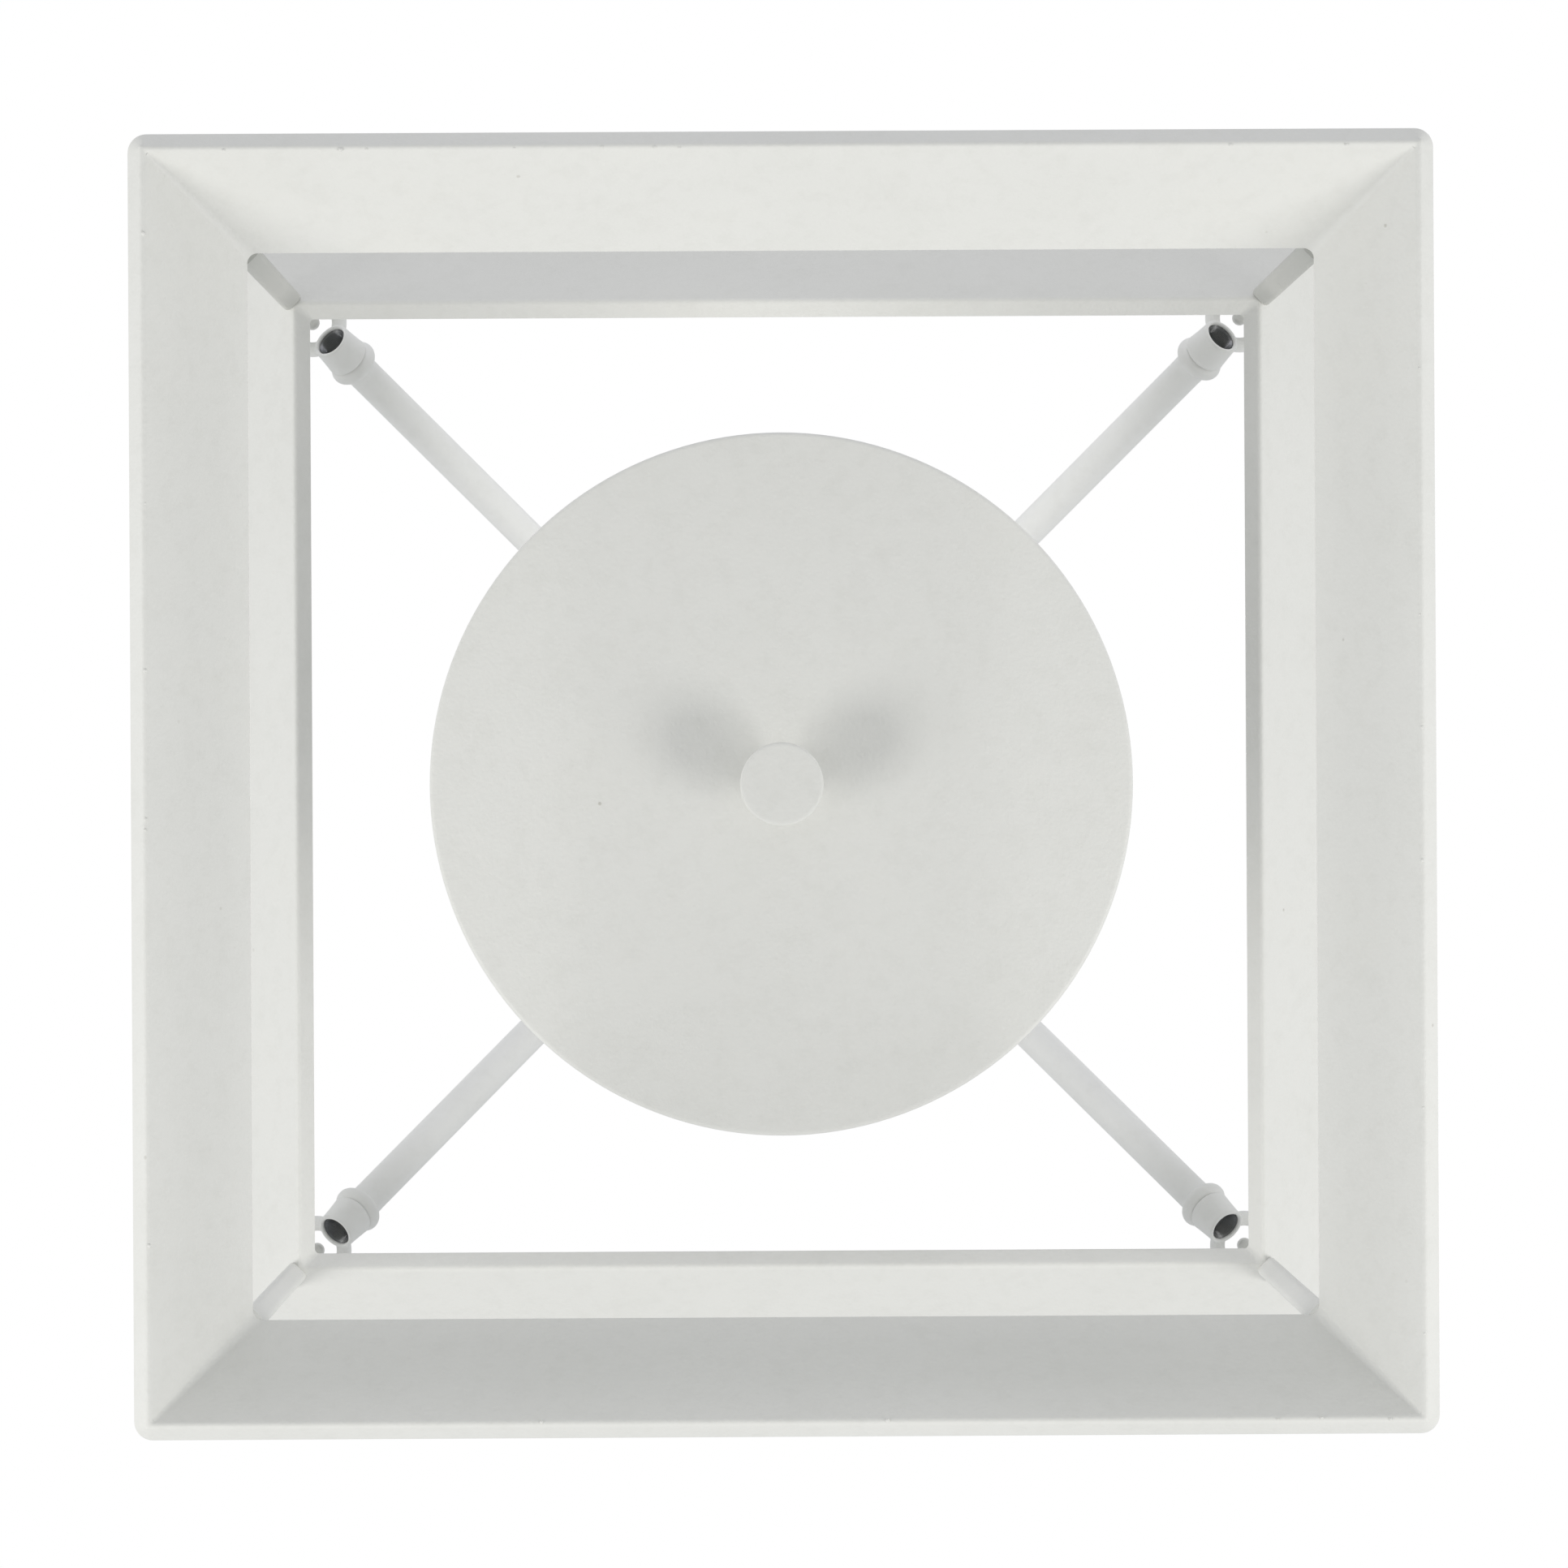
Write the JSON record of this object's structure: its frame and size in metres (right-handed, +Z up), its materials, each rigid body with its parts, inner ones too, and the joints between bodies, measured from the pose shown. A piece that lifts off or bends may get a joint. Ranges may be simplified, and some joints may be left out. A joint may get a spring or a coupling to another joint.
{
  "type": "square hanging lantern",
  "caption": "Open square cage lantern with flared rims and corner posts, hooked to slanting rods, holding a round candle tray with a finial knob; hangs from a ceiling canopy.",
  "frame": {"origin": "on the ceiling plane, at the centre of the mounting bar's top face", "axes": "+Z up out of the ceiling face, X and Y square to the lantern's sides; the lantern hangs below the origin"},
  "size_m": [0.4504, 0.4504, 0.74],
  "materials": {
    "coating": "matte off-white powder coat",
    "steel": "zinc plated",
    "sleeve": "satin off-white candle sleeve",
    "socket": "moulded lamp holder",
    "bulb": "frosted candle lamp"
  },
  "bodies": {
    "ceiling_set": {"canopy": "coating", "canopy_collar": "coating", "mounting_bar": "steel", "canopy_screw_1": "coating", "canopy_screw_2": "coating", "ceiling_fork": "coating"},
    "swivel": {"swivel_cross": "steel"},
    "suspension": {"top_stem": "coating", "hub": "coating", "centre_tube": "coating", "tray": "coating", "tray_locknut": "coating", "finial_stem": "coating", "rod_1": "coating", "rod_2": "coating", "rod_3": "coating", "rod_4": "coating", "ferrule_1": "coating", "ferrule_2": "coating", "ferrule_3": "coating", "ferrule_4": "coating", "thread_insert_1": "steel", "thread_insert_2": "steel", "thread_insert_3": "steel", "thread_insert_4": "steel", "eye_ring_1": "coating", "eye_ring_2": "coating", "eye_ring_3": "coating", "eye_ring_4": "coating", "drip_cup_1": "coating", "drip_cup_2": "coating", "drip_cup_3": "coating", "drip_cup_4": "coating", "candle_sleeve_1": "sleeve", "candle_sleeve_2": "sleeve", "candle_sleeve_3": "sleeve", "candle_sleeve_4": "sleeve", "lamp_socket_1": "socket", "lamp_socket_2": "socket", "lamp_socket_3": "socket", "lamp_socket_4": "socket"},
    "cage": {"bottom_rim": "coating", "bottom_bevel": "coating", "top_rim": "coating", "top_bevel": "coating", "top_lip": "coating", "post_1": "coating", "post_2": "coating", "post_3": "coating", "post_4": "coating", "corner_hook_1": "coating", "corner_hook_2": "coating", "corner_hook_3": "coating", "corner_hook_4": "coating"},
    "finial": {"finial_knob": "coating"},
    "lamp_1": {"bulb_1": "bulb"},
    "lamp_2": {"bulb_2": "bulb"},
    "lamp_3": {"bulb_3": "bulb"},
    "lamp_4": {"bulb_4": "bulb"}
  },
  "joints": [
    {"name": "swivel_tilt_y", "type": "hinge", "parent": "ceiling_set", "child": "swivel", "pos_m": [0, 0, -0.052], "axis": [0, 1, 0], "range_deg": [-20, 20]},
    {"name": "swivel_tilt_x", "type": "hinge", "parent": "swivel", "child": "suspension", "pos_m": [0, 0, -0.052], "axis": [1, 0, 0], "range_deg": [-20, 20]},
    {"name": "cage_lift", "type": "slide", "parent": "suspension", "child": "cage", "axis": [0, 0, 1], "range_m": [0, 0.02]},
    {"name": "finial_turn", "type": "hinge", "parent": "suspension", "child": "finial", "pos_m": [0, 0, -0.582], "axis": [0, 0, 1], "range_deg": [-1080, 0]},
    {"name": "lamp_turn_1", "type": "hinge", "parent": "suspension", "child": "lamp_1", "pos_m": [0.076, 0, -0.46], "axis": [0, 0, 1], "range_deg": [0, 1080]},
    {"name": "lamp_turn_2", "type": "hinge", "parent": "suspension", "child": "lamp_2", "pos_m": [0, 0.076, -0.46], "axis": [0, 0, 1], "range_deg": [0, 1080]},
    {"name": "lamp_turn_3", "type": "hinge", "parent": "suspension", "child": "lamp_3", "pos_m": [-0.076, 0, -0.46], "axis": [0, 0, 1], "range_deg": [0, 1080]},
    {"name": "lamp_turn_4", "type": "hinge", "parent": "suspension", "child": "lamp_4", "pos_m": [0, -0.076, -0.46], "axis": [0, 0, 1], "range_deg": [0, 1080]}
  ]
}
